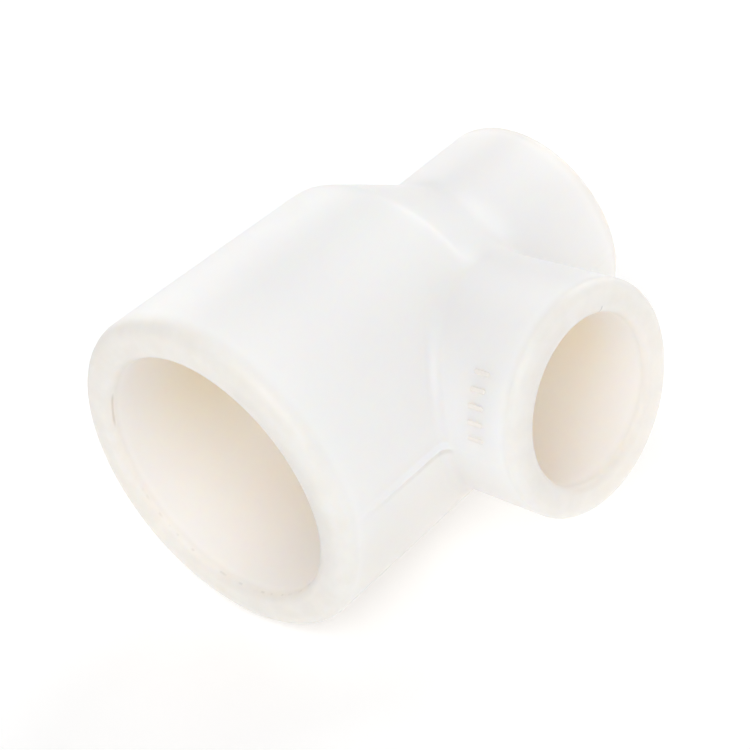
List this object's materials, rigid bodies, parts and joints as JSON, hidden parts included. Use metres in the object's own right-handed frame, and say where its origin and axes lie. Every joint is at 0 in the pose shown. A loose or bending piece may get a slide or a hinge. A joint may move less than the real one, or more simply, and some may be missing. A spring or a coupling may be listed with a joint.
{
  "type": "reducing pipe tee",
  "caption": "White moulded reducing tee: a large run socket, a conical shoulder, a small run socket and a small side branch socket for pressure pipe.",
  "frame": {"origin": "where the centre line of the run crosses the centre line of the branch", "axes": "run along X with the large mouth at -X and the small run mouth at +X; branch along -Y; the mould's parting plane is Z = 0"},
  "size_m": [0.0592, 0.0526, 0.0418],
  "materials": {
    "white_plastic": "satin moulded white, slightly warm and faintly translucent"
  },
  "bodies": {
    "root": {"large_socket": "white_plastic", "run_chamber": "white_plastic", "reducing_shoulder": "white_plastic", "small_run_socket": "white_plastic", "branch_socket": "white_plastic", "parting_line": "white_plastic", "size_ticks": "white_plastic"}
  },
  "joints": []
}
